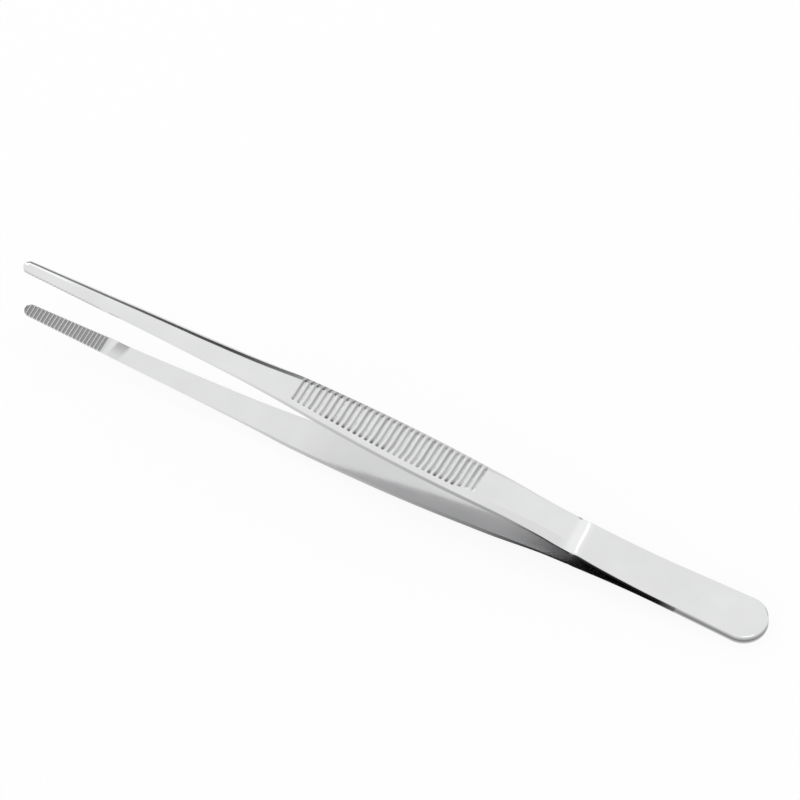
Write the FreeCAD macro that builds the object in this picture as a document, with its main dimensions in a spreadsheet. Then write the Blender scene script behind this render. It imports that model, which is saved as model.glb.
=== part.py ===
import FreeCAD, Part
import enum
import math
import os
import Sketcher
from FreeCAD import Placement, Rotation, Vector

# Dressing forceps: two like arms, welded face to face along their tails.
#
# An arm is drawn in its own frame: X runs from the tail end to the tip, Y is across
# and Z runs outwards from the weld. The lower arm is the same arm turned half a turn
# about X. The pair is then pitched together, so that it lies as it rests on a table:
# on the heel of the tail and the belly of the lower arm, with the tips raised towards
# -X and the origin at table height below the middle of the whole.

# Driving sizes in millimetres, apart from the counts and the slope. "from_tail" is a
# distance along the arm from its tail end, "from_tip" one from its tip, and a "lead"
# is how far a curve keeps close to the line that it leaves.
SIZES = {
    "arm_length": 160,
    # The tail plate is flat along the weld, then bends away from the other arm.
    "weld_length": 19.5,
    "bend_radius": 138,
    "bend_length": 21.1,
    "plate_thickness": 1.2,
    "plate_end_radius": 4.7,
    "plate_root_half_width": 3.88,
    "plate_edge_radius": 0.35,
    # The shoulder steps down from the plate to the thinner spring strip.
    "shoulder_length": 1.6,
    "shoulder_radius": 3.4,
    "strip_thickness": 0.8,
    "strip_lead": 7,
    # The grip is straight and carries the cross grooves.
    "grip_from_tail": 61.5,
    "grip_length": 39.5,
    "grip_start_gap": 3.7,
    "grip_end_gap": 6.7,
    "grip_lead": 6.5,
    "grip_thickness": 1.7,
    # The shank turns parallel to the other arm and ends in the jaw.
    "shank_lead": 5,
    "shank_level_from_tip": 30,
    "jaw_root_from_tip": 24,
    "jaw_gap": 7.6,
    "jaw_root_thickness": 1.35,
    "tip_thickness": 1.2,
    # Seen from above, the arm has a waist, a belly at the grip, and a slim neck, from
    # which it tapers straight to the round tip.
    "root_lead": 2.5,
    "waist_from_tail": 47,
    "waist_half_width": 3.7,
    "waist_lead": 7,
    "belly_from_tail": 74,
    "belly_half_width": 4.22,
    "belly_lead": 12,
    "belly_far_lead": 18,
    "neck_from_tail": 115,
    "neck_lead": 10,
    "shank_taper": 0.03,
    "tip_radius": 1.27,
    # Bevels run along both sides of the outer face and round the tip.
    "bevel_width": 1.15,
    "bevel_drop": 0.42,
    # Grooves across the grip, cut by a round cutter.
    "groove_count": 32,
    "groove_pitch": 1.245,
    "groove_radius": 0.48,
    "groove_depth": 0.2,
    # Serrations across the jaw, on a pad that stands proud of the inner face.
    "serration_count": 22,
    "serration_pitch": 0.79,
    "serration_radius": 0.28,
    "serration_depth": 0.22,
    "pad_rise": 0.3,
    "pad_margin": 1.0,
    "ramp_length": 4,
    "ramp_radius": 26.8,
}
SHEET = "Sizes"

# Places that follow from the driving sizes, as expressions of their names.
BEND_END = "weld_length + bend_length"
BEND_ROOT = "sqrt( bend_radius * bend_radius - bend_length * bend_length )"
BEND_RISE = f"bend_radius - {BEND_ROOT}"
BEND_SLOPE = f"bend_length / {BEND_ROOT}"
STRIP_RADIUS = "( bend_radius - strip_thickness )"
STRIP_START = f"weld_length + {STRIP_RADIUS} * bend_length / bend_radius"
STRIP_HEIGHT = f"bend_radius - {STRIP_RADIUS} * {BEND_ROOT} / bend_radius"
PLATE_RADIUS = "( bend_radius - plate_thickness )"
PLATE_RUN = "( bend_length - shoulder_length )"
PLATE_LENGTH = f"weld_length + {PLATE_RUN}"
PLATE_HEIGHT = f"bend_radius - sqrt( {PLATE_RADIUS} * {PLATE_RADIUS} - {PLATE_RUN} * {PLATE_RUN} )"
GRIP_SLOPE = "( grip_end_gap - grip_start_gap ) / grip_length"
GRIP_END = "grip_from_tail + grip_length"
SHANK_LEVEL = "arm_length - shank_level_from_tip"
JAW_ROOT = "arm_length - jaw_root_from_tip"
JAW_TAPER = "( jaw_root_thickness - tip_thickness ) / jaw_root_from_tip"
JAW_ROOT_RUN = "( shank_level_from_tip - jaw_root_from_tip )"
PAD_HEIGHT = "jaw_gap - pad_rise"
PAD_START = "arm_length - serration_count * serration_pitch - pad_margin"
TAPER_SECANT = "sqrt( 1 + shank_taper * shank_taper )"
TIP_SIDE = f"arm_length - tip_radius + tip_radius * shank_taper / {TAPER_SECANT}"
TIP_SIDE_WIDTH = f"tip_radius / {TAPER_SECANT}"
NECK_HALF_WIDTH = f"{TIP_SIDE_WIDTH} + ( {TIP_SIDE} - neck_from_tail ) * shank_taper"
CLEARANCE = "3 * plate_end_radius"
FIRST_GROOVE = "grip_from_tail + ( grip_length - ( groove_count - 1 ) * groove_pitch ) / 2"
LAST_GROOVE = "grip_from_tail + ( grip_length + ( groove_count - 1 ) * groove_pitch ) / 2"

# How upright a side is and how far outwards the outer face looks, by its normal's Z.
UPRIGHT = 0.01
FACING_OUT = 0.5

# How finely the section is followed when the arm is laid to rest.
SECTION_STEP = 0.05


class Spot(enum.IntEnum):
    """What a sketch's constraints call its origin and the points of a piece in it."""

    ORIGIN = -1
    START = 1
    END = 2
    CENTRE = 3


def make_sheet(doc):
    """The spreadsheet of driving sizes, one named cell each."""
    sheet = doc.addObject("Spreadsheet::Sheet", SHEET)
    for row, (alias, size) in enumerate(SIZES.items(), 1):
        sheet.set(f"A{row}", alias)
        sheet.set(f"B{row}", str(size))
        sheet.setAlias(f"B{row}", alias)
    doc.recompute()


def bound(text):
    """An expression in which each word that names a size points to its cell."""
    return " ".join(f"{SHEET}.{word}" if word in SIZES else word for word in text.split())


def number(doc, text):
    """What an expression of the sizes comes to."""
    return float(doc.getObject(SHEET).evalExpression(bound(text)))


def origin_plane(body, role):
    """One of the body's own base planes."""
    return next(plane for plane in body.Origin.OriginFeatures if plane.Role == role)


def new_sketch(body, name, role):
    """An empty sketch on one of the body's base planes."""
    sketch = body.newObject("Sketcher::SketchObject", name)
    sketch.AttachmentSupport = (origin_plane(body, role), "")
    sketch.MapMode = "FlatFace"
    return sketch


def constrain(sketch, constraint, text):
    """Add a dimension whose value is an expression of the sizes."""
    index = sketch.addConstraint(constraint)
    sketch.setExpression(f"Constraints[{index}]", bound(text))


def pin(sketch, geometry, point, place):
    """Hold a point of the sketch at the place that two expressions give."""
    for kind, text in zip(("DistanceX", "DistanceY"), place):
        value = number(sketch.Document, text)
        constrain(sketch, Sketcher.Constraint(kind, Spot.ORIGIN, Spot.START, geometry, point, value), text)


class Outline:
    """A closed outline, drawn from corner to corner at places that expressions give."""

    def __init__(self, sketch, start):
        self.sketch = sketch
        self.start = start
        self.here = self.point(start)
        self.first = None
        self.last = None

    def point(self, place):
        """The place as a point of the sketch."""
        return Vector(*[number(self.sketch.Document, text) for text in place])

    def join(self, geometry, start, end, place):
        """Tie a new piece to the one before it and hold its far end."""
        if self.last is None:
            self.first = (geometry, start)
            pin(self.sketch, geometry, start, self.start)
        else:
            self.sketch.addConstraint(Sketcher.Constraint("Coincident", *self.last, geometry, start))
        if place == self.start:
            self.sketch.addConstraint(Sketcher.Constraint("Coincident", geometry, end, *self.first))
        else:
            pin(self.sketch, geometry, end, place)
        self.last = (geometry, end)
        self.here = self.point(place)

    def line_to(self, place):
        """A straight piece."""
        geometry = self.sketch.addGeometry(Part.LineSegment(self.here, self.point(place)), False)
        self.join(geometry, Spot.START, Spot.END, place)

    def arc_to(self, place, radius, left):
        """An arc of less than half a turn, which bends to the left or the right."""
        far = self.point(place)
        size = number(self.sketch.Document, radius)
        chord = far - self.here
        across = Vector(-chord.y, chord.x).normalize()
        reach = math.sqrt(size**2 - (chord.Length / 2) ** 2)
        centre = (self.here + far) / 2 + across * (reach if left else -reach)
        ends = (self.here, far) if left else (far, self.here)
        angles = [math.atan2(end.y - centre.y, end.x - centre.x) for end in ends]
        circle = Part.Circle(centre, Vector(0, 0, 1), size)
        geometry = self.sketch.addGeometry(Part.ArcOfCircle(circle, *angles), False)
        self.join(geometry, Spot.START if left else Spot.END, Spot.END if left else Spot.START, place)
        constrain(self.sketch, Sketcher.Constraint("Radius", geometry, size), radius)

    def curve_to(self, *places):
        """A smooth curve that is led by two poles to the last place."""
        poles = [self.here] + [self.point(place) for place in places]
        curve = Part.BSplineCurve(poles, None, None, False, 3, None, False)
        geometry = self.sketch.addGeometry(curve, False)
        self.join(geometry, Spot.START, Spot.END, places[-1])
        self.sketch.exposeInternalGeometry(geometry)
        for inner, place in enumerate(places[:-1], 2):
            pin(self.sketch, geometry + inner, Spot.CENTRE, place)


def bar_outline(sketch):
    """Strip, grip, shank and jaw seen from the side, round from the weld's inner end."""
    outline = Outline(sketch, ("weld_length", "0"))
    outline.arc_to((BEND_END, BEND_RISE), "bend_radius", left=True)
    outline.curve_to(
        (f"{BEND_END} + strip_lead", f"{BEND_RISE} + strip_lead * {BEND_SLOPE}"),
        ("grip_from_tail - grip_lead", f"grip_start_gap - grip_lead * {GRIP_SLOPE}"),
        ("grip_from_tail", "grip_start_gap"),
    )
    outline.line_to((GRIP_END, "grip_end_gap"))
    outline.curve_to(
        (f"{GRIP_END} + shank_lead", f"grip_end_gap + shank_lead * {GRIP_SLOPE}"),
        (SHANK_LEVEL, "jaw_gap"),
        (JAW_ROOT, "jaw_gap"),
    )
    outline.line_to((f"{PAD_START} - ramp_length", "jaw_gap"))
    outline.arc_to((PAD_START, PAD_HEIGHT), "ramp_radius", left=False)
    outline.line_to(("arm_length", PAD_HEIGHT))
    outline.line_to(("arm_length", "jaw_gap + tip_thickness"))
    outline.line_to((JAW_ROOT, "jaw_gap + jaw_root_thickness"))
    outline.curve_to(
        (SHANK_LEVEL, f"jaw_gap + jaw_root_thickness + {JAW_ROOT_RUN} * {JAW_TAPER}"),
        (f"{GRIP_END} + shank_lead", f"grip_end_gap + shank_lead * {GRIP_SLOPE} + grip_thickness"),
        (GRIP_END, "grip_end_gap + grip_thickness"),
    )
    outline.line_to(("grip_from_tail", "grip_start_gap + grip_thickness"))
    outline.curve_to(
        ("grip_from_tail - grip_lead", f"grip_start_gap - grip_lead * {GRIP_SLOPE} + grip_thickness"),
        (f"{STRIP_START} + strip_lead", f"{STRIP_HEIGHT} + strip_lead * {BEND_SLOPE}"),
        (STRIP_START, STRIP_HEIGHT),
    )
    outline.arc_to(("weld_length", "strip_thickness"), STRIP_RADIUS, left=False)
    outline.line_to(("weld_length", "0"))


def plate_outline(sketch):
    """The tail plate and its shoulder seen from the side, round from the tail end."""
    outline = Outline(sketch, ("0", "0"))
    outline.line_to(("weld_length", "0"))
    outline.arc_to((BEND_END, BEND_RISE), "bend_radius", left=True)
    outline.line_to((STRIP_START, STRIP_HEIGHT))
    outline.arc_to((PLATE_LENGTH, PLATE_HEIGHT), "shoulder_radius", left=False)
    outline.arc_to(("weld_length", "plate_thickness"), PLATE_RADIUS, left=False)
    outline.line_to(("0", "plate_thickness"))
    outline.line_to(("0", "0"))


def bar_waste(sketch):
    """What is cut away beside the bar, seen from above, on the side of +Y."""
    outline = Outline(sketch, ("0", "plate_root_half_width"))
    outline.line_to((BEND_END, "plate_root_half_width"))
    outline.curve_to(
        (f"{BEND_END} + root_lead", "plate_root_half_width"),
        ("waist_from_tail - root_lead", "waist_half_width"),
        ("waist_from_tail", "waist_half_width"),
    )
    outline.curve_to(
        ("waist_from_tail + waist_lead", "waist_half_width"),
        ("belly_from_tail - belly_lead", "belly_half_width"),
        ("belly_from_tail", "belly_half_width"),
    )
    outline.curve_to(
        ("belly_from_tail + belly_far_lead", "belly_half_width"),
        ("neck_from_tail - neck_lead", f"{NECK_HALF_WIDTH} + neck_lead * shank_taper"),
        ("neck_from_tail", NECK_HALF_WIDTH),
    )
    outline.line_to((TIP_SIDE, TIP_SIDE_WIDTH))
    outline.arc_to(("arm_length", "0"), "tip_radius", left=False)
    outline.line_to((f"arm_length + {CLEARANCE}", "0"))
    outline.line_to((f"arm_length + {CLEARANCE}", CLEARANCE))
    outline.line_to(("0", CLEARANCE))
    outline.line_to(("0", "plate_root_half_width"))


def plate_waste(sketch):
    """What is cut away beside the tail plate, seen from above, on the side of +Y."""
    outline = Outline(sketch, ("0", "0"))
    outline.arc_to(("plate_end_radius", "plate_end_radius"), "plate_end_radius", left=False)
    outline.line_to((PLATE_LENGTH, "plate_root_half_width"))
    outline.line_to((BEND_END, "plate_root_half_width"))
    outline.line_to((BEND_END, CLEARANCE))
    outline.line_to((f"- {CLEARANCE}", CLEARANCE))
    outline.line_to((f"- {CLEARANCE}", "0"))
    outline.line_to(("0", "0"))


def add_slab(body, name, draw):
    """A slab across the arm, with the side outline that is drawn for it."""
    sketch = new_sketch(body, f"{name}_side", "XZ_Plane")
    draw(sketch)
    slab = body.newObject("PartDesign::Pad", name)
    slab.Profile = sketch
    slab.SideType = "Symmetric"
    slab.setExpression("Length", bound(f"2 * {CLEARANCE}"))


def trim_sides(body, name, draw):
    """Cut the waste that is drawn away from one side of the arm and its like opposite."""
    sketch = new_sketch(body, f"{name}_waste", "XY_Plane")
    draw(sketch)
    cut = body.newObject("PartDesign::Pocket", f"{name}_trim")
    cut.Profile = sketch
    cut.SideType = "Symmetric"
    cut.Type = "ThroughAll"
    mirror = body.newObject("PartDesign::Mirrored", f"{name}_far_trim")
    mirror.Originals = [cut]
    mirror.MirrorPlane = (origin_plane(body, "XZ_Plane"), [""])
    body.Tip = mirror
    body.Document.recompute()
    return mirror


def outer_edges(shape, low, high):
    """Names of the edges between the outer face and the sides, from low to high in X."""
    names = []
    for index, edge in enumerate(shape.Edges, 1):
        middle = edge.valueAt((edge.FirstParameter + edge.LastParameter) / 2)
        if not low < middle.x < high:
            continue
        faces = shape.ancestorsOfType(edge, Part.Face)
        leans = sorted(face.normalAt(*face.Surface.parameter(middle)).z for face in faces)
        if abs(leans[0]) < UPRIGHT and leans[-1] > FACING_OUT:
            names.append(f"Edge{index}")
    return names


def bevel_sides(body, base):
    """Bevel the bar's outer edges, from one side round the tip to the other."""
    bevels = body.newObject("PartDesign::Chamfer", "bevels")
    bevels.Base = (base, outer_edges(base.Shape, SIZES["weld_length"], SIZES["arm_length"]))
    bevels.ChamferType = "Two distances"
    bevels.setExpression("Size", bound("bevel_drop"))
    bevels.setExpression("Size2", bound("bevel_width"))
    body.Document.recompute()


def round_plate(body, base):
    """Round the outer edges of the tail plate."""
    rounding = body.newObject("PartDesign::Fillet", "plate_rounding")
    high = number(body.Document, PLATE_LENGTH)
    rounding.Base = (base, outer_edges(base.Shape, 0, high))
    rounding.setExpression("Radius", bound("plate_edge_radius"))
    body.Document.recompute()


def cut_row(body, name, first, last, radius, count):
    """A row of round-bottomed cuts right across the arm, from the first place to the last."""
    doc = body.Document
    sketch = new_sketch(body, f"{name}_section", "XZ_Plane")
    places = [Vector(*[number(doc, text) for text in place]) for place in (first, last)]
    size = number(doc, radius)
    circle = sketch.addGeometry(Part.Circle(places[0], Vector(0, 0, 1), size), False)
    pin(sketch, circle, Spot.CENTRE, first)
    constrain(sketch, Sketcher.Constraint("Radius", circle, size), radius)
    row = sketch.addGeometry(Part.LineSegment(*places), True)
    sketch.addConstraint(Sketcher.Constraint("Coincident", row, Spot.START, circle, Spot.CENTRE))
    pin(sketch, row, Spot.END, last)
    cut = body.newObject("PartDesign::Pocket", name)
    cut.Profile = sketch
    cut.SideType = "Symmetric"
    cut.Type = "ThroughAll"
    doc.recompute()
    pattern = body.newObject("PartDesign::LinearPattern", f"{name}_row")
    pattern.Originals = [cut]
    pattern.Direction = (sketch, ["Axis0"])
    run, rise = (f"( {far} - ( {near} ) )" for near, far in zip(first, last))
    pattern.setExpression("Length", bound(f"sqrt( {run} * {run} + {rise} * {rise} )"))
    pattern.setExpression("Occurrences", bound(count))
    body.Tip = pattern
    doc.recompute()


def cut_grooves(body):
    """The grooves of the grip, along its straight outer face."""
    height = "grip_start_gap + grip_thickness + groove_radius - groove_depth"
    first, last = (
        (along, f"{height} + ( {along} - grip_from_tail ) * {GRIP_SLOPE}")
        for along in (FIRST_GROOVE, LAST_GROOVE)
    )
    cut_row(body, "groove", first, last, "groove_radius", "groove_count")


def cut_serrations(body):
    """The serrations of the jaw, from the tip towards the tail."""
    height = f"{PAD_HEIGHT} + serration_depth - serration_radius"
    first = ("arm_length - serration_pitch / 2", height)
    last = ("arm_length - serration_pitch * ( serration_count - 0.5 )", height)
    cut_row(body, "serration", first, last, "serration_radius", "serration_count")


def make_arm(doc, name):
    """One arm, in its own frame."""
    body = doc.addObject("PartDesign::Body", name)
    body.Label = name
    add_slab(body, "bar", bar_outline)
    bevel_sides(body, trim_sides(body, "bar", bar_waste))
    add_slab(body, "plate", plate_outline)
    round_plate(body, trim_sides(body, "plate", plate_waste))
    cut_grooves(body)
    cut_serrations(body)
    return body


def rest_contacts(shape):
    """Where an arm's outer side touches a table that it lies on: its heel and its belly."""
    wires = shape.slice(Vector(0, 1, 0), 0)
    points = [point for wire in wires for point in wire.discretize(Distance=SECTION_STEP)]
    hull = []
    for point in sorted(points, key=lambda point: point.x):
        while len(hull) > 1 and turns_left(hull[-2], hull[-1], point):
            hull.pop()
        hull.append(point)
    balance = shape.Solids[0].CenterOfMass.x
    return next(pair for pair in zip(hull, hull[1:]) if pair[0].x <= balance < pair[1].x)


def turns_left(first, second, third):
    """Whether the way through three points of the XZ plane bends towards +Z."""
    run = second - first
    turn = third - second
    return run.x * turn.z - run.z * turn.x >= 0


def lay_to_rest(upper, lower):
    """Turn the lower arm over, and pitch and drop both until they rest on the table."""
    heel, belly = rest_contacts(upper.Shape)
    pitch = math.degrees(math.atan2(belly.z - heel.z, belly.x - heel.x))
    tips_first = Rotation(Vector(0, 0, 1), 180)
    level = Rotation(Vector(0, 1, 0), pitch)
    over = Rotation(Vector(1, 0, 0), 180)
    for arm, turn in ((upper, Rotation()), (lower, over)):
        arm.Placement = Placement(Vector(), level * tips_first * turn)
    boxes = [arm.Shape.optimalBoundingBox() for arm in (upper, lower)]
    middle = (min(box.XMin for box in boxes) + max(box.XMax for box in boxes)) / 2
    drop = Placement(Vector(-middle, 0, -min(box.ZMin for box in boxes)), Rotation())
    for arm in (upper, lower):
        arm.Placement = drop * arm.Placement


def check(doc, arms):
    """Stop at a feature that failed or an arm that isn't one sound solid."""
    failed = [item.Name for item in doc.Objects if {"Invalid", "Error"} & set(item.State)]
    if failed:
        raise RuntimeError(f"features that failed: {failed}")
    for arm in arms:
        if arm.Shape.isNull() or not arm.Shape.isValid() or len(arm.Shape.Solids) != 1:
            raise RuntimeError(f"{arm.Label} is not one valid solid")


doc = FreeCAD.newDocument("thumb_forceps")
make_sheet(doc)
arms = [make_arm(doc, name) for name in ("upper_arm", "lower_arm")]
lay_to_rest(*arms)
doc.recompute()
check(doc, arms)
os.makedirs("parts", exist_ok=True)
for arm in arms:
    arm.Shape.exportStep(f"parts/{arm.Label}.step")
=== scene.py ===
import math

import bmesh
import bpy
import numpy as np
from mathutils import Matrix, Vector

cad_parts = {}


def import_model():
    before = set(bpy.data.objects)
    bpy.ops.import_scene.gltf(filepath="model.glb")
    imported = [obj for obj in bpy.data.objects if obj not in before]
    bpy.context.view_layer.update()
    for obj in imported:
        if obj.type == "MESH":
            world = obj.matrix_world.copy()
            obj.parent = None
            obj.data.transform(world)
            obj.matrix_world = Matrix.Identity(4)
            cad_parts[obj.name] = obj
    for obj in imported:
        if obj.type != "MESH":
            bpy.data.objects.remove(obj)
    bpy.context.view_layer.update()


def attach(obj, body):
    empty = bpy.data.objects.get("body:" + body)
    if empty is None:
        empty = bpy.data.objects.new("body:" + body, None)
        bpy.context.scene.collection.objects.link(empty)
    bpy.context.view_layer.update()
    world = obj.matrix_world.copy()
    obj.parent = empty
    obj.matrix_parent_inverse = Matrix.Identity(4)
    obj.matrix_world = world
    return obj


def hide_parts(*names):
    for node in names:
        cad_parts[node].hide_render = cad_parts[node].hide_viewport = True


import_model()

MM = 0.001

# The arm's own frame, as in the part's source: "along" runs from the tail end to the tip,
# "across" is sideways and "out" is away from the other arm. Lengths here are in mm.
ARM_LENGTH = 160
WELD_LENGTH = 19.5
BEND_RADIUS = 138
BEND_LENGTH = 21.1
PLATE_THICKNESS = 1.2
PLATE_END_RADIUS = 4.7
PLATE_ROOT_HALF_WIDTH = 3.88
PLATE_EDGE_RADIUS = 0.35
SHOULDER_LENGTH = 1.6
SHOULDER_RADIUS = 3.4
STRIP_THICKNESS = 0.8
STRIP_LEAD = 7
GRIP_FROM_TAIL = 61.5
GRIP_LENGTH = 39.5
GRIP_START_GAP = 3.7
GRIP_END_GAP = 6.7
GRIP_LEAD = 6.5
GRIP_THICKNESS = 1.7
SHANK_LEAD = 5
SHANK_LEVEL_FROM_TIP = 30
JAW_ROOT_FROM_TIP = 24
JAW_GAP = 7.6
JAW_ROOT_THICKNESS = 1.35
TIP_THICKNESS = 1.2
ROOT_LEAD = 2.5
WAIST_FROM_TAIL = 47
WAIST_HALF_WIDTH = 3.7
WAIST_LEAD = 7
BELLY_FROM_TAIL = 74
BELLY_HALF_WIDTH = 4.22
BELLY_LEAD = 12
BELLY_FAR_LEAD = 18
NECK_FROM_TAIL = 115
NECK_LEAD = 10
SHANK_TAPER = 0.03
TIP_RADIUS = 1.27
BEVEL_WIDTH = 1.15
BEVEL_DROP = 0.42
GROOVE_COUNT = 32
GROOVE_PITCH = 1.245
GROOVE_RADIUS = 0.48
GROOVE_DEPTH = 0.2
SERRATION_COUNT = 22
SERRATION_PITCH = 0.79
SERRATION_RADIUS = 0.28
SERRATION_DEPTH = 0.22
PAD_RISE = 0.3
PAD_MARGIN = 1.0
RAMP_LENGTH = 4
RAMP_RADIUS = 26.8

# Where the arms' frame lies in the row's: the tail end of the weld, and the pitch.
TAIL_END = Vector((80.0643, 0, 1.1729))
ALONG = Vector((-0.997451, 0, 0.0713549))
OUT = Vector((0.0713549, 0, 0.997451))

GRIP_SLOPE = (GRIP_END_GAP - GRIP_START_GAP) / GRIP_LENGTH
GRIP_END = GRIP_FROM_TAIL + GRIP_LENGTH
BEND_END = WELD_LENGTH + BEND_LENGTH
BEND_ROOT = math.sqrt(BEND_RADIUS**2 - BEND_LENGTH**2)
BEND_RISE = BEND_RADIUS - BEND_ROOT
BEND_SLOPE = BEND_LENGTH / BEND_ROOT
STRIP_RADIUS = BEND_RADIUS - STRIP_THICKNESS
STRIP_START = WELD_LENGTH + STRIP_RADIUS * BEND_LENGTH / BEND_RADIUS
STRIP_HEIGHT = BEND_RADIUS - STRIP_RADIUS * BEND_ROOT / BEND_RADIUS
PLATE_RADIUS = BEND_RADIUS - PLATE_THICKNESS
PLATE_LENGTH = BEND_END - SHOULDER_LENGTH
PLATE_HEIGHT = BEND_RADIUS - math.sqrt(PLATE_RADIUS**2 - (BEND_LENGTH - SHOULDER_LENGTH) ** 2)
SHANK_LEVEL = ARM_LENGTH - SHANK_LEVEL_FROM_TIP
JAW_ROOT = ARM_LENGTH - JAW_ROOT_FROM_TIP
JAW_TAPER = (JAW_ROOT_THICKNESS - TIP_THICKNESS) / JAW_ROOT_FROM_TIP
PAD_START = ARM_LENGTH - SERRATION_COUNT * SERRATION_PITCH - PAD_MARGIN
PAD_HEIGHT = JAW_GAP - PAD_RISE
RAMP_START = PAD_START - RAMP_LENGTH
TIP_CENTRE = ARM_LENGTH - TIP_RADIUS
NECK_HALF_WIDTH = TIP_RADIUS + (TIP_CENTRE - NECK_FROM_TAIL) * SHANK_TAPER
FIRST_GROOVE = GRIP_FROM_TAIL + (GRIP_LENGTH - (GROOVE_COUNT - 1) * GROOVE_PITCH) / 2
FIRST_SERRATION = ARM_LENGTH - SERRATION_PITCH * (SERRATION_COUNT - 0.5)

ARC_POINTS = 40
CURVE_POINTS = 80


def arc(start, end, radius, left):
    """Points on an arc of less than half a turn that bends to the left or the right."""
    start, end = np.array(start, float), np.array(end, float)
    chord = end - start
    length = np.hypot(*chord)
    across = np.array([-chord[1], chord[0]]) / length
    reach = math.sqrt(radius**2 - (length / 2) ** 2)
    centre = (start + end) / 2 + across * (reach if left else -reach)
    first, last = (math.atan2(*(point - centre)[::-1]) for point in (start, end))
    turn = (last - first + math.pi) % (2 * math.pi) - math.pi
    angles = first + np.linspace(0, 1, ARC_POINTS) * turn
    return [tuple(centre + radius * np.array([math.cos(a), math.sin(a)])) for a in angles]


def curve(*poles):
    """Points on the smooth curve that four poles give."""
    a, b, c, d = (np.array(pole, float) for pole in poles)
    return [
        tuple(a * (1 - t) ** 3 + 3 * b * t * (1 - t) ** 2 + 3 * c * t**2 * (1 - t) + d * t**3)
        for t in np.linspace(0, 1, CURVE_POINTS)
    ]


def inner_line():
    """The inner face seen from the side."""
    return (
        [(0, 0)]
        + arc((WELD_LENGTH, 0), (BEND_END, BEND_RISE), BEND_RADIUS, True)
        + curve(
            (BEND_END, BEND_RISE),
            (BEND_END + STRIP_LEAD, BEND_RISE + STRIP_LEAD * BEND_SLOPE),
            (GRIP_FROM_TAIL - GRIP_LEAD, GRIP_START_GAP - GRIP_LEAD * GRIP_SLOPE),
            (GRIP_FROM_TAIL, GRIP_START_GAP),
        )
        + curve(
            (GRIP_END, GRIP_END_GAP),
            (GRIP_END + SHANK_LEAD, GRIP_END_GAP + SHANK_LEAD * GRIP_SLOPE),
            (SHANK_LEVEL, JAW_GAP),
            (JAW_ROOT, JAW_GAP),
        )
        + arc((RAMP_START, JAW_GAP), (PAD_START, PAD_HEIGHT), RAMP_RADIUS, False)
        + [(ARM_LENGTH, PAD_HEIGHT)]
    )


def outer_line():
    """The outer face seen from the side."""
    level_rise = (SHANK_LEVEL_FROM_TIP - JAW_ROOT_FROM_TIP) * JAW_TAPER
    return (
        [(0, PLATE_THICKNESS)]
        + arc((WELD_LENGTH, PLATE_THICKNESS), (PLATE_LENGTH, PLATE_HEIGHT), PLATE_RADIUS, True)
        + arc((PLATE_LENGTH, PLATE_HEIGHT), (STRIP_START, STRIP_HEIGHT), SHOULDER_RADIUS, True)
        + curve(
            (STRIP_START, STRIP_HEIGHT),
            (STRIP_START + STRIP_LEAD, STRIP_HEIGHT + STRIP_LEAD * BEND_SLOPE),
            (GRIP_FROM_TAIL - GRIP_LEAD, GRIP_START_GAP - GRIP_LEAD * GRIP_SLOPE + GRIP_THICKNESS),
            (GRIP_FROM_TAIL, GRIP_START_GAP + GRIP_THICKNESS),
        )
        + curve(
            (GRIP_END, GRIP_END_GAP + GRIP_THICKNESS),
            (GRIP_END + SHANK_LEAD, GRIP_END_GAP + SHANK_LEAD * GRIP_SLOPE + GRIP_THICKNESS),
            (SHANK_LEVEL, JAW_GAP + JAW_ROOT_THICKNESS + level_rise),
            (JAW_ROOT, JAW_GAP + JAW_ROOT_THICKNESS),
        )
        + [(ARM_LENGTH, JAW_GAP + TIP_THICKNESS)]
    )


def side_line():
    """The side seen from above, between the round ends."""
    return (
        [(PLATE_END_RADIUS, PLATE_END_RADIUS), (PLATE_LENGTH, PLATE_ROOT_HALF_WIDTH)]
        + curve(
            (BEND_END, PLATE_ROOT_HALF_WIDTH),
            (BEND_END + ROOT_LEAD, PLATE_ROOT_HALF_WIDTH),
            (WAIST_FROM_TAIL - ROOT_LEAD, WAIST_HALF_WIDTH),
            (WAIST_FROM_TAIL, WAIST_HALF_WIDTH),
        )
        + curve(
            (WAIST_FROM_TAIL, WAIST_HALF_WIDTH),
            (WAIST_FROM_TAIL + WAIST_LEAD, WAIST_HALF_WIDTH),
            (BELLY_FROM_TAIL - BELLY_LEAD, BELLY_HALF_WIDTH),
            (BELLY_FROM_TAIL, BELLY_HALF_WIDTH),
        )
        + curve(
            (BELLY_FROM_TAIL, BELLY_HALF_WIDTH),
            (BELLY_FROM_TAIL + BELLY_FAR_LEAD, BELLY_HALF_WIDTH),
            (NECK_FROM_TAIL - NECK_LEAD, NECK_HALF_WIDTH + NECK_LEAD * SHANK_TAPER),
            (NECK_FROM_TAIL, NECK_HALF_WIDTH),
        )
        + [(TIP_CENTRE, TIP_RADIUS)]
    )


def reader(points):
    """A line's height at any place along it."""
    places, heights = zip(*sorted(points))
    return lambda place: float(np.interp(place, places, heights))


inner_at = reader(inner_line())
outer_at = reader(outer_line())
side_at = reader(side_line())


def ease(value, low, high):
    """From 0 at low to 1 at high, with soft ends."""
    t = min(max((value - low) / (high - low), 0.0), 1.0)
    return t * t * (3 - 2 * t)


def ramp(value, low, high, start, end):
    """From start at low to end at high, with soft ends."""
    return start + (end - start) * ease(value, low, high)


def near(value, middle, full, none):
    """1 as far as full from the middle, and 0 from none on, with soft ends."""
    return 1 - ease(abs(value - middle), full, none)


def within(value, start, risen, falling, end):
    """From 0 at start to 1 at risen, and from 1 at falling to 0 at end, with soft ends."""
    return ease(value, start, risen) * (1 - ease(value, falling, end))


def soft_max(a, b, blur):
    """The larger of two values, rounded where they meet."""
    t = min(max(0.5 + (a - b) / (2 * blur), 0.0), 1.0)
    return b + (a - b) * t + blur * t * (1 - t)


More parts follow.
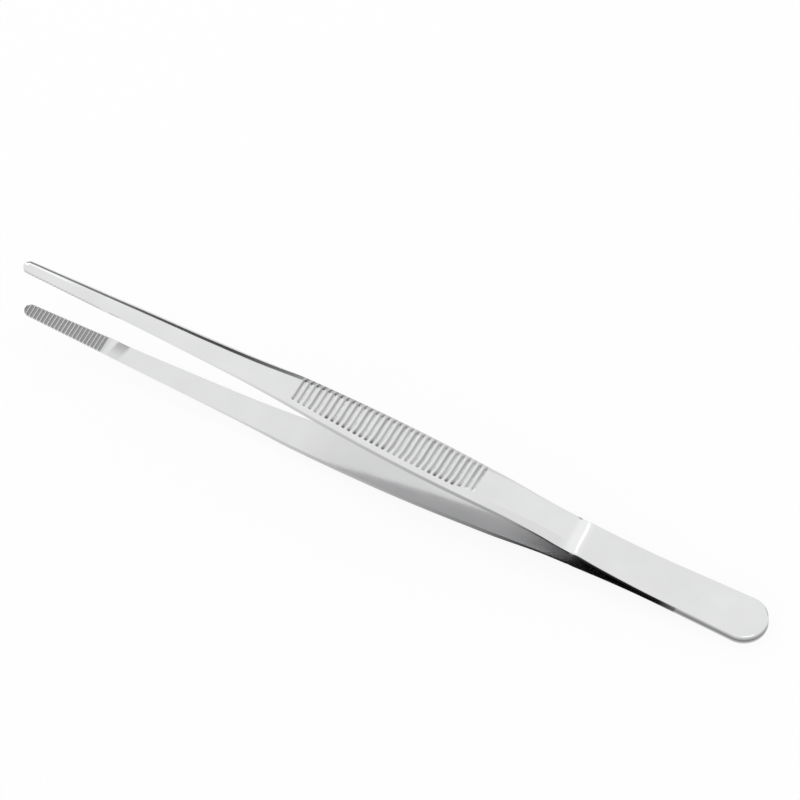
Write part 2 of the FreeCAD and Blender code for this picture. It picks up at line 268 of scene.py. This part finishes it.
def nearest(place, first, pitch, count):
    """Which one of a row of cuts is nearest."""
    return min(max(round((place - first) / pitch), 0), count - 1)


CUT_BLUR = 0.05


def cut_depth(place, first, pitch, count, radius, depth):
    """How deep the nearest of a row of round-bottomed cuts is here."""
    off = place - first - nearest(place, first, pitch, count) * pitch
    sink = math.sqrt(max(radius**2 - off**2, 0)) - (radius - depth)
    return soft_max(sink, 0.0, CUT_BLUR)


def groove_at(place):
    """How deep the grooves are here."""
    return cut_depth(
        place, FIRST_GROOVE, GROOVE_PITCH, GROOVE_COUNT, GROOVE_RADIUS, GROOVE_DEPTH
    )


def serration_at(place):
    """How deep the serrations are here."""
    return cut_depth(
        place, FIRST_SERRATION, SERRATION_PITCH, SERRATION_COUNT, SERRATION_RADIUS, SERRATION_DEPTH
    )


# The hand-ground bevels along the arm, as rows of place, width, drop and bulge. On one side
# the strip's is broad and shallow and the shank's is light, on the other the strip has only a
# broken edge and the shank is ground deeper.
BROAD_BEVEL = [
    (BEND_END - 0.9, 0.3, 0.02, 1.2),
    (BEND_END, 1.3, 0.1, 1.2),
    (BEND_END + 1.4, 2.1, 0.22, 1.2),
    (BEND_END + 3, 2.0, 0.27, 1.2),
    (52, 1.55, 0.25, 1.2),
    (GRIP_FROM_TAIL, BEVEL_WIDTH, BEVEL_DROP, 1.4),
    (GRIP_END, BEVEL_WIDTH, BEVEL_DROP, 1.5),
    (GRIP_END + 5, 1.5, 0.6, 1.9),
    (122, 1.8, 0.72, 2.0),
    (142, 1.6, 0.7, 2.0),
    (ARM_LENGTH, 1.22, 0.6, 2.0),
]
NARROW_BEVEL = [
    (BEND_END, 0.2, 0.05, 1.5),
    (BEND_END + 2, 0.4, 0.2, 1.5),
    (56, 0.5, 0.25, 1.5),
    (GRIP_FROM_TAIL, 1.0, BEVEL_DROP, 1.5),
    (GRIP_END, BEVEL_WIDTH, BEVEL_DROP, 1.5),
    (GRIP_END + 5, 1.5, 0.62, 1.9),
    (110, 1.75, 0.7, 2.1),
    (122, 1.9, 0.93, 2.4),
    (142, 1.6, 0.9, 2.5),
    (ARM_LENGTH, 1.2, 0.82, 2.6),
]
BEVEL_START = PLATE_LENGTH - 0.3
BROKEN_EDGE = 0.06

# Where a bevel has its points, in parts of its width.
SHARES = np.array(
    [0, 0.04, 0.09, 0.15, 0.22, 0.3, 0.38, 0.46, 0.54, 0.62, 0.7, 0.78, 0.86, 0.93, 1]
)


def profile_at(place, broad):
    """The outer edge: distances in from the side, and the drops below the face there."""
    table = np.array(BROAD_BEVEL if broad else NARROW_BEVEL)
    wide, drop, bulge = (np.interp(place, table[:, 0], table[:, column]) for column in (1, 2, 3))
    bar = np.array((wide * SHARES, drop * (1 - SHARES) ** bulge))
    angles = SHARES * math.pi / 2
    plate = PLATE_EDGE_RADIUS * np.array((1 - np.cos(angles), 1 - np.sin(angles)))
    share = ease(place, BEVEL_START, BEND_END)
    insets, drops = plate * (1 - share) + bar * share
    drops[0] += BROKEN_EDGE
    return insets, drops


# Where an arm is sectioned: at even steps, as rows of start, end and step, to both sides of
# each cut's middle, and finely round both ends.
EVEN_RUNS = [
    (5.5, WELD_LENGTH, 2),
    (WELD_LENGTH, PLATE_LENGTH - 3.4, 1),
    (PLATE_LENGTH - 3.4, BEND_END + 3.2, 0.12),
    (BEND_END + 3.4, GRIP_FROM_TAIL, 0.7),
    (GRIP_END + 0.4, RAMP_START, 0.9),
    (RAMP_START - 1, PAD_START + 0.9, 0.25),
]
GROOVE_SECTIONS = [0, 0.1, 0.19, 0.27, 0.33, 0.37, 0.4, 0.43, 0.48, 0.54, GROOVE_PITCH / 2]
SERRATION_SECTIONS = [0, 0.08, 0.15, 0.21, 0.25, 0.28, 0.32, SERRATION_PITCH / 2]
END_SECTIONS = 22


def stations():
    """The places along the arm where it is sectioned."""
    quarter = np.linspace(0, math.pi / 2, END_SECTIONS)
    places = list(PLATE_END_RADIUS * (1 - np.cos(quarter)))
    places += list(TIP_CENTRE + TIP_RADIUS * np.sin(quarter))
    for start, end, step in EVEN_RUNS:
        places += list(np.arange(start, end, step))
    for index in range(GROOVE_COUNT):
        middle = FIRST_GROOVE + index * GROOVE_PITCH
        places += [middle + off * side for off in GROOVE_SECTIONS for side in (-1, 1)]
    for index in range(SERRATION_COUNT):
        middle = ARM_LENGTH - SERRATION_PITCH * (index + 0.5)
        places += [middle + off * side for off in SERRATION_SECTIONS for side in (-1, 1)]
    return sorted({round(place, 4) for place in places if 0 <= place <= ARM_LENGTH})


# The shoulder's corners are averaged over this reach to either side, fully as far as the
# first of these lengths from the shoulder and not at all from the second on.
SOFT_SHOULDER = (4, 6)
SOFT_REACH = 0.5
SOFTENING = np.linspace(-SOFT_REACH, SOFT_REACH, 21)
SOFT_WEIGHTS = 1 + np.cos(SOFTENING / SOFT_REACH * math.pi)


def face_height(place):
    """The outer face's height, with the shoulder's corners polished soft."""
    spread = near(place, PLATE_LENGTH, *SOFT_SHOULDER)
    heights = [outer_at(place + off * spread) for off in SOFTENING]
    return float(np.average(heights, weights=SOFT_WEIGHTS))


# On the broad side the grooves stop short of the edge. The first few, by the strip, stop
# shorter and are fainter, each a step more than the next.
GROOVE_STOP = 1.3
GROOVE_RUN_OUT = 0.35
FAINT_GROOVES = 3
SHORTER_STEP = 0.3
FAINTER_STEP = 0.08


def groove_share(place, inset):
    """How much of a groove's depth there is on the broad side."""
    index = nearest(place, FIRST_GROOVE, GROOVE_PITCH, GROOVE_COUNT)
    steps = max(FAINT_GROOVES - index, 0)
    past_stop = max(GROOVE_STOP + SHORTER_STEP * steps - inset, 0)
    return (1 - FAINTER_STEP * steps) * math.sqrt(max(1 - (past_stop / GROOVE_RUN_OUT) ** 2, 0))


# Painted light and shade on the steel, as a brightness: 0 is deep painted shade, 1 is the steel's
# own tone and above 1 is a painted highlight.
# A tuple says where a tone changes, as the limits that ease, near or within take.
# Painted shade on the inner faces: deep by the weld, lighter along the grip, on the pad and in the
# teeth, with a painted dark reflection in a crescent behind the pad.
WELD_PAINTED_SHADE = 0.06
WELD_SHADOW = (36, 58)
GRIP_PAINTED_SHADE = 0.82
GRIP_SHADOW = (86, 112)
PAD_DARK = 0.3
PAD_TIP_DARK = 0.45
PAD_EDGE = (PAD_START - 0.2, PAD_START + 1.5)
CRESCENT_SKEW = 0.18
CRESCENT_DARK = 0.12
CRESCENT_SIDE_DARK = 0.57
CRESCENT_BEHIND_PAD = (0.4, 0.9, 2.7, 3.5)
CRESCENT_ACROSS = (-1.5, 1.8)
# Painted shade in the teeth and in the grooves, uneven from groove to groove.
TOOTH_DARK = 0.9
GROOVE_DARK = 0.66
GROOVE_UNEVEN = 0.08
UNEVEN_STEP = 2.3
DEPTH_POWER = 0.6
GROOVE_MIDDLE_DARK = 0.06
GROOVE_MIDDLE = (1.4, 3.4)
GROOVE_SIDE_LIGHT = 0.33
GROOVE_SIDE = (0.3, 1.1)
# A black painted shadow dot where some grooves end.
DOT_DARK = 0.6
DOT_EDGE = (1.25, 1.7)
DOTTED_GROOVES = [*range(8), *range(15, 26)]
# A painted highlight across the shoulder.
SHOULDER_MIDDLE = BEND_END - 0.5
SHOULDER_PAINTED_HIGHLIGHT = 0.17
SHOULDER_EDGE = (0.6, 2.1)
# Painted shade on the strip's broad bevel, and a painted dark spot on the narrow edge by the
# shoulder.
STRIP_BEVEL_DARK = 0.08
STRIP_BEVEL = (BEND_END + 1, BEND_END + 3, 54, 61)
ON_BEVEL = 0.01
SPOT_MIDDLE = BEND_END + 0.7
SPOT_DARK = 0.75
SPOT_EDGE = (0.1, 0.7)
SPOT_WIDTH = 0.4
# Where the painted shade on the narrow side face lies.
SIDE_SHADOW = (19, 24, 46, 60)


def inner_painted_light(place, y, sunk, past_weld):
    """Painted light on the inner face: painted shade by the weld, along the grip, on the pad and
    in the teeth, and a painted dark reflection in a crescent behind the pad.
    """
    by_weld = ramp(place, *WELD_SHADOW, WELD_PAINTED_SHADE, past_weld)
    by_weld *= ramp(place, *GRIP_SHADOW, GRIP_PAINTED_SHADE, 1)
    pad = ramp(place, PAD_START, ARM_LENGTH, PAD_DARK, PAD_TIP_DARK) * ease(place, *PAD_EDGE)
    behind_pad = PAD_START - place - CRESCENT_SKEW * y
    crescent = within(behind_pad, *CRESCENT_BEHIND_PAD)
    crescent *= ramp(y, *CRESCENT_ACROSS, CRESCENT_DARK, CRESCENT_SIDE_DARK)
    return by_weld * (1 - crescent) * (1 - pad) * (1 - TOOTH_DARK * min(sunk, 1))


def outer_painted_light(place, inset, drop, sunk, broad):
    """Painted light on the outer face: painted shade in the grooves, a black painted shadow dot
    where some end, a painted highlight at the shoulder, and painted shade on the strip's bevel and
    in a spot on the narrow side.
    """
    index = nearest(place, FIRST_GROOVE, GROOVE_PITCH, GROOVE_COUNT)
    dark = GROOVE_DARK + GROOVE_UNEVEN * math.sin(UNEVEN_STEP * index)
    if not broad:
        dark += GROOVE_MIDDLE_DARK * near(inset, 0, *GROOVE_MIDDLE)
        dark -= GROOVE_SIDE_LIGHT * near(inset, 0, *GROOVE_SIDE)
    elif index in DOTTED_GROOVES:
        dark += DOT_DARK * near(inset, 0, *DOT_EDGE)
    bright = 1 - dark * min(sunk, 1) ** DEPTH_POWER
    # A painted highlight across the shoulder, then painted shade on the strip's bevel and in the
    # spot.
    bright += SHOULDER_PAINTED_HIGHLIGHT * near(place, SHOULDER_MIDDLE, *SHOULDER_EDGE)
    if broad and drop > ON_BEVEL:
        bright -= STRIP_BEVEL_DARK * within(place, *STRIP_BEVEL)
    if not broad and inset < SPOT_WIDTH:
        bright -= SPOT_DARK * near(place, SPOT_MIDDLE, *SPOT_EDGE)
    return bright


# The outer face is a little higher along its middle, from past the shoulder on. On the
# narrow side the grooves are shallower, lie on the bevel and fade towards the edge.
FACE_CROWN = 0.035
CROWN_RISE = (BEND_END + 1, BEND_END + 8)
NARROW_SIDE_SHARE = 0.8
NARROW_SIDE_FADE = 0.5
THINNEST = 1e-4

# Across the flat of a half section: rows close behind the bevel, as distances, or as shares
# where the flat is narrow, then rows to the middle, as shares.
FLAT_STEPS = (0.1, 0.2, 0.32)
NARROW_FLAT = 0.5
NARROW_SHARES = (0.95, 0.9, 0.85)
MIDDLE_SHARES = (0.75, 0.5, 0.25, 0.0)
INNER_SHARES = (-1, -0.75, -0.5, -0.25, 0, 0.25, 0.5, 0.75, 1)


def width_at(place):
    """The half width that the section is cut from, and how far into a round end it is."""
    if place < PLATE_END_RADIUS:
        return PLATE_END_RADIUS, PLATE_END_RADIUS - place
    if place > TIP_CENTRE:
        return TIP_RADIUS, place - TIP_CENTRE
    return side_at(place), 0.0


def half_section(place, broad, side_painted_shade):
    """The (across, out, painted light) points of the outer face, from its side to its middle."""
    radius, into_end = width_at(place)
    insets, drops = profile_at(place, broad)

    def drop_at(inset):
        return float(np.interp(min(inset, radius - into_end), insets, drops))

    rows = [
        (math.sqrt(max(max(radius - inset, 0) ** 2 - into_end**2, 0)), drop_at(inset))
        for inset in insets
    ]
    flat_drop = drop_at(radius)
    edge = rows[-1][0]
    if edge > NARROW_FLAT:
        rows += [(edge - step, flat_drop) for step in FLAT_STEPS]
    else:
        rows += [(edge * share, flat_drop) for share in NARROW_SHARES]
    edge = rows[-1][0]
    rows += [(edge * share, flat_drop) for share in MIDDLE_SHARES]

    outer = face_height(place)
    groove = groove_at(place)
    crown = FACE_CROWN * ease(place, *CROWN_RISE)
    thinnest = inner_at(place) + serration_at(place) + THINNEST
    points = []
    for y, drop in rows:
        inset = radius - y
        crowned = -crown * (y / radius) ** 2 - drop
        if broad:
            sink = groove * groove_share(place, inset)
            cut = min(crowned, -sink)
            sunk = max(sink + crowned, 0)
        else:
            sink = groove * ease(inset, 0, NARROW_SIDE_FADE)
            cut = crowned - NARROW_SIDE_SHARE * sink
            sunk = sink
        bright = outer_painted_light(place, inset, drop, sunk / GROOVE_DEPTH, broad)
        points.append([y, max(outer + cut, thinnest), bright])
    # Painted shade on the side face of the narrow side, after the weld.
    if not broad:
        points[0][2] *= 1 - (1 - side_painted_shade) * within(place, *SIDE_SHADOW)
    return points


def section(place, past_weld, side_painted_shade):
    """The closed ring of (across, out, painted light) points at a place along the arm."""
    broad = half_section(place, True, side_painted_shade)
    narrow = half_section(place, False, side_painted_shade)
    teeth = serration_at(place)
    inner = inner_at(place) + teeth
    edge = broad[0][0]
    ring = broad + [(-y, z, painted_light) for y, z, painted_light in narrow[-2::-1]]
    for share in INNER_SHARES:
        y = edge * share
        painted_light = inner_painted_light(place, y, teeth / SERRATION_DEPTH, past_weld)
        ring.append((y, inner, painted_light))
    return ring


# The shoulder isn't quite square to the arm and curls at both ends, and the grooves curl a
# little where they end.
SHOULDER_SKEW = 0.04
SHOULDER_CURL = 0.4
SKEW_MIDDLE = PLATE_LENGTH + 0.7
SKEW_EDGE = (1, 5)
GROOVE_CURL = 0.25
CURL_ALONG = (GRIP_FROM_TAIL - 1, GRIP_FROM_TAIL + 4, GRIP_END, GRIP_END + 3)
CURL_ACROSS = (1, 3.4)


def drift(place, y):
    """How far along the arm a point is moved."""
    curl = GROOVE_CURL * within(place, *CURL_ALONG) * ease(y, *CURL_ACROSS)
    bend = SHOULDER_SKEW * y + SHOULDER_CURL * (y / PLATE_ROOT_HALF_WIDTH) ** 3
    return curl - near(place, SKEW_MIDDLE, *SKEW_EDGE) * bend


# Painted shade, as a brightness, on each arm's inner face past the weld and on the side face of
# its narrow side.
PAST_WELD = {"upper_arm": 0.95, "lower_arm": 0.97}
SIDE_PAINTED_SHADE = {"upper_arm": 1.0, "lower_arm": 0.05}
JOINED_WITHIN = 2e-4
SHORTEST_EDGE = 1e-4
SHARP_ANGLE = math.radians(40)


def tidy_mesh(mesh):
    """Join the points that meet at the ends, and shade smooth between the sharp edges."""
    bm = bmesh.new()
    bm.from_mesh(mesh)
    bmesh.ops.remove_doubles(bm, verts=bm.verts, dist=JOINED_WITHIN * MM)
    bmesh.ops.dissolve_degenerate(bm, edges=bm.edges, dist=SHORTEST_EDGE * MM)
    bmesh.ops.recalc_face_normals(bm, faces=bm.faces)
    bm.to_mesh(mesh)
    bm.free()
    mesh.polygons.foreach_set("use_smooth", [True] * len(mesh.polygons))
    mesh.set_sharp_from_angle(angle=SHARP_ANGLE)


def arm(name, turned):
    """One arm as a single closed mesh."""
    places = stations()
    rings = [section(place, PAST_WELD[name], SIDE_PAINTED_SHADE[name]) for place in places]
    count = len(rings[0])
    side = 1 if turned else -1
    flip = -1 if turned else 1
    verts = []
    for place, ring in zip(places, rings):
        for y, z, _ in ring:
            spot = TAIL_END + ALONG * (place + drift(place, y)) + OUT * (z * flip)
            spot.y += y * side
            verts.append(spot * MM)
    faces = []
    for row in range(len(places) - 1):
        for col in range(count):
            after = (col + 1) % count
            a, b = row * count + col, row * count + after
            faces.append((a, b, b + count, a + count))
    mesh = bpy.data.meshes.new(f"{name}_steel")
    mesh.from_pydata(verts, [], faces)
    # Each point's painted light and shade, which the steel's material reads.
    painted_light = mesh.attributes.new("painted_light", "FLOAT", "POINT")
    painted_light.data.foreach_set("value", [point[2] for ring in rings for point in ring])
    tidy_mesh(mesh)
    piece = bpy.data.objects.new(mesh.name, mesh)
    bpy.context.scene.collection.objects.link(piece)
    return piece


def new_material(name):
    """A material with its node tree."""
    material = bpy.data.materials.new(name)
    material.use_nodes = True
    return material, material.node_tree


def node(tree, kind, values=None):
    """A shader node with its constant inputs."""
    made = tree.nodes.new(kind)
    for socket, value in (values or {}).items():
        made.inputs[socket].default_value = value
    return made


# The steel's two tones, the tone that painted shade darkens it to, how rough it is between and
# on the polishing lines, and how fine and deep those are.
STEEL_TONES = ((0.735, 0.737, 0.742, 1), (0.775, 0.777, 0.782, 1))
PAINTED_SHADE_TONE = (0.2, 0.2, 0.205, 1)
STEEL_ROUGHNESS = (0.1, 0.16)
NOISE_SPAN = (0.3, 0.7)
LINES_PER_METRE = (60.0, 1400.0, 1400.0)
CLOUDS_PER_METRE = 120.0
LINE_DEPTH = 0.1
LINE_STRENGTH = 0.05


def steel():
    """Polished stainless steel with faint polishing lines, and the painted light and shade from
    the mesh.
    """
    material, tree = new_material("polished_steel")
    link = tree.links.new
    shader = tree.nodes["Principled BSDF"]
    shader.inputs["Metallic"].default_value = 1.0

    place = node(tree, "ShaderNodeTexCoord")
    stretch = node(tree, "ShaderNodeMapping", {"Scale": LINES_PER_METRE})
    link(place.outputs["Object"], stretch.inputs["Vector"])
    fine = {"Scale": 1.0, "Detail": 3.0, "Roughness": 0.55}
    lines = node(tree, "ShaderNodeTexNoise", fine)
    link(stretch.outputs["Vector"], lines.inputs["Vector"])
    coarse = {"Scale": CLOUDS_PER_METRE, "Detail": 4.0, "Roughness": 0.5}
    clouds = node(tree, "ShaderNodeTexNoise", coarse)
    link(place.outputs["Object"], clouds.inputs["Vector"])

    tone = node(tree, "ShaderNodeValToRGB")
    for mark, spot, colour in zip(tone.color_ramp.elements, NOISE_SPAN, STEEL_TONES):
        mark.position = spot
        mark.color = colour
    link(clouds.outputs["Fac"], tone.inputs["Fac"])
    # The mesh's painted light: painted shade mixes the steel towards the dark tone, and a painted
    # highlight lifts it past its own tone.
    painted_light = node(tree, "ShaderNodeAttribute")
    painted_light.attribute_name = "painted_light"
    shade = node(tree, "ShaderNodeMix")
    shade.data_type = "RGBA"
    shade.clamp_factor = False
    shade.inputs["A"].default_value = PAINTED_SHADE_TONE
    link(painted_light.outputs["Fac"], shade.inputs["Factor"])
    link(tone.outputs["Color"], shade.inputs["B"])
    link(shade.outputs["Result"], shader.inputs["Base Color"])

    gloss = node(tree, "ShaderNodeMapRange")
    gloss.inputs["From Min"].default_value, gloss.inputs["From Max"].default_value = NOISE_SPAN
    gloss.inputs["To Min"].default_value, gloss.inputs["To Max"].default_value = STEEL_ROUGHNESS
    link(lines.outputs["Fac"], gloss.inputs["Value"])
    link(gloss.outputs["Result"], shader.inputs["Roughness"])

    relief = node(tree, "ShaderNodeBump", {"Strength": LINE_STRENGTH, "Distance": LINE_DEPTH * MM})
    link(lines.outputs["Fac"], relief.inputs["Height"])
    link(relief.outputs["Normal"], shader.inputs["Normal"])
    return material


def plane(name, size, place, look=None):
    """A flat rectangle of size (wide, deep), facing up or towards a point."""
    wide, deep = size[0] / 2, size[1] / 2
    mesh = bpy.data.meshes.new(name)
    corners = [(-wide, -deep, 0), (wide, -deep, 0), (wide, deep, 0), (-wide, deep, 0)]
    mesh.from_pydata([Vector(c) * MM for c in corners], [], [(0, 1, 2, 3)])
    made = bpy.data.objects.new(name, mesh)
    bpy.context.scene.collection.objects.link(made)
    made.location = Vector(place) * MM
    if look is not None:
        made.rotation_euler = (Vector(look) - Vector(place)).to_track_quat("Z", "Y").to_euler()
    return made


WHITE = (1, 1, 1, 1)
PAPER = (0.9, 0.9, 0.9, 1)
PAPER_ROUGHNESS = 0.9
FLOOR_WHITE_TO_EYE = 0.88
FLOOR_WHITE_IN_STEEL = 0.15


def floor_material():
    """Pale paper, lit as it is and lifted towards white for the eye and for reflections."""
    material, tree = new_material("pale_floor")
    link = tree.links.new
    shader = tree.nodes["Principled BSDF"]
    shader.inputs["Base Color"].default_value = PAPER
    shader.inputs["Roughness"].default_value = PAPER_ROUGHNESS
    shader.inputs["Specular IOR Level"].default_value = 0.0
    glow = node(tree, "ShaderNodeEmission", {"Color": WHITE})
    rays = node(tree, "ShaderNodeLightPath")
    eye = node(tree, "ShaderNodeMath", {1: FLOOR_WHITE_TO_EYE})
    eye.operation = "MULTIPLY"
    link(rays.outputs["Is Camera Ray"], eye.inputs[0])
    share = node(tree, "ShaderNodeMath", {1: FLOOR_WHITE_IN_STEEL})
    share.operation = "MULTIPLY_ADD"
    link(rays.outputs["Is Glossy Ray"], share.inputs[0])
    link(eye.outputs[0], share.inputs[2])
    mix = node(tree, "ShaderNodeMixShader")
    link(share.outputs[0], mix.inputs[0])
    link(shader.outputs[0], mix.inputs[1])
    link(glow.outputs[0], mix.inputs[2])
    link(mix.outputs[0], tree.nodes["Material Output"].inputs["Surface"])
    return material


def world():
    """An even white surround."""
    made = bpy.data.worlds.new("studio")
    made.use_nodes = True
    back = made.node_tree.nodes["Background"]
    back.inputs["Color"].default_value = WHITE
    back.inputs["Strength"].default_value = 1.0
    bpy.context.scene.world = made


def softbox(name, place, size, power):
    """A rectangular area lamp that looks at the middle of the object."""
    lamp = bpy.data.lights.new(name, "AREA")
    lamp.shape = "RECTANGLE"
    lamp.size, lamp.size_y = size[0] * MM, size[1] * MM
    lamp.energy = power
    made = bpy.data.objects.new(name, lamp)
    bpy.context.scene.collection.objects.link(made)
    made.location = Vector(place) * MM
    made.rotation_euler = (-Vector(place)).to_track_quat("-Z", "Y").to_euler()


def card(name, size, place, look, glows, axis="X"):
    """A card that only reflections see, as bright as glows says at shares of its length."""
    made = plane(name, size, place, look)
    material, tree = new_material(name)
    link = tree.links.new
    tree.nodes.remove(tree.nodes["Principled BSDF"])
    peak = max(level for _, level in glows)
    glow = node(tree, "ShaderNodeEmission", {"Strength": peak})
    link(glow.outputs[0], tree.nodes["Material Output"].inputs["Surface"])
    where = node(tree, "ShaderNodeTexCoord")
    split = node(tree, "ShaderNodeSeparateXYZ")
    link(where.outputs["Generated"], split.inputs[0])
    tones = node(tree, "ShaderNodeValToRGB")
    link(split.outputs[axis], tones.inputs["Fac"])
    link(tones.outputs["Color"], glow.inputs["Color"])
    marks = tones.color_ramp.elements
    while len(marks) < len(glows):
        marks.new(0.5)
    for mark, (spot, level) in zip(marks, glows):
        mark.position = spot
        mark.color = (level / peak, level / peak, level / peak, 1)
    made.data.materials.append(material)
    made.visible_camera = False
    made.visible_diffuse = False
    made.visible_shadow = False
    made.visible_transmission = False


# The camera's right and up, in parts of the directions toward the tail, across and out, and
# where the tail end is in a picture of so many pixels, at so many pixels to the mm.
RIGHT_SHARES = (0.8771, 0.4803, 0)
UP_SHARES = (-0.4060, 0.7414, 0.5343)
PICTURE_PIXELS = 800
PIXELS_PER_MM = 5.28
TAIL_END_PIXEL = (764.5, 629.1)
LENS = 1500.0
SENSOR = 36.0
CLIP = (100, 30000)


def camera():
    """The photograph's view: from very far, so nearly without perspective."""
    axes = (-ALONG, Vector((0, 1, 0)), OUT)
    right = sum((axis * share for axis, share in zip(axes, RIGHT_SHARES)), Vector()).normalized()
    up = sum((axis * share for axis, share in zip(axes, UP_SHARES)), Vector())
    back = right.cross(up).normalized()
    up = back.cross(right)
    to_right, to_down = ((PICTURE_PIXELS / 2 - spot) / PIXELS_PER_MM for spot in TAIL_END_PIXEL)
    aim = TAIL_END + right * to_right - up * to_down
    middle = TAIL_END + ALONG * (ARM_LENGTH / 2)
    away = LENS / SENSOR * PICTURE_PIXELS / PIXELS_PER_MM
    spot = aim + back * (away + (middle - aim).dot(back))
    data = bpy.data.cameras.new("camera")
    data.lens, data.sensor_width = LENS, SENSOR
    data.clip_start, data.clip_end = (distance * MM for distance in CLIP)
    made = bpy.data.objects.new("camera", data)
    turn = Matrix((right, up, back)).transposed().to_4x4()
    made.matrix_world = Matrix.Translation(spot * MM) @ turn
    bpy.context.scene.collection.objects.link(made)
    bpy.context.scene.camera = made


metal = steel()
for name, turned in (("upper_arm", False), ("lower_arm", True)):
    piece = arm(name, turned)
    piece.data.materials.append(metal)
    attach(piece, "root")
    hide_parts(name)

FLOOR_SIZE = (4000, 4000)
UNDER_THE_STEEL = (0, 0, -0.02)
floor = plane("floor", FLOOR_SIZE, UNDER_THE_STEEL)
floor.data.materials.append(floor_material())

# The far bevel sees a card that is bright towards the tail and dark along the shank.
FAR_GLOW = [
    (0, 0.9), (0.18, 0.8), (0.25, 0.5), (0.3, 0.2),
    (0.34, 0.08), (0.41, 0.11), (0.48, 0.24), (1, 0.36),
]
# The near sides see one on the floor that is darkest under the strips: a painted shadow that only
# reflections show.
LOW_GLOW = [
    (0, 1), (0.2, 1), (0.335, 0.78), (0.45, 0.66),
    (0.575, 0.5), (0.64, 0.42), (0.75, 0.6), (1, 0.9),
]
# Close to the lower arm there is one that is black by the end of the weld: a painted contact
# shadow that only reflections show.
CONTACT_GLOW = [
    (0, 0.8), (0.34, 0.52), (0.55, 0.28), (0.66, 0.1),
    (0.8, 0.02), (0.96, 0.02), (1, 0.3),
]
# The shoulder sees a white one, which fades towards its upper edge.
WHITE_GLOW = [(0, 1.8), (0.78, 1.8), (0.95, 1), (1, 1)]
END_GLOW = [(0, 0.15), (1, 0.15)]
TAIL_GLOW = [(0, 2.2), (1, 2.2)]
TIP_GLOW = [(0, 1.25), (1, 1.25)]
ORIGIN = (0, 0, 0)

card("far_card", size=(240, 60), place=(-88, 60, 45), look=(-88, 200, 45), glows=FAR_GLOW)
card("end_card", size=(26, 24), place=(96, 60, 20), look=(96, 200, 20), glows=END_GLOW)
card("floor_shadow_card", size=(200, 52), place=(10, -23, 0), look=None, glows=LOW_GLOW)
card("contact_shadow_card", size=(94, 5), place=(15, -5.6, 0.05), look=None, glows=CONTACT_GLOW)
card("white_card", (420, 480), place=(-415, 265, 348), look=ORIGIN, glows=WHITE_GLOW, axis="Y")
card("tail_card", size=(320, 160), place=(300, -180, 430), look=ORIGIN, glows=TAIL_GLOW)
card("tip_card", size=(22, 12), place=(-93, 27.6, 70.7), look=(-81, 0, 19), glows=TIP_GLOW)
world()
softbox("key", place=(-420, 270, 320), size=(260, 200), power=0.2)
camera()

bpy.context.scene.view_settings.view_transform = "Standard"
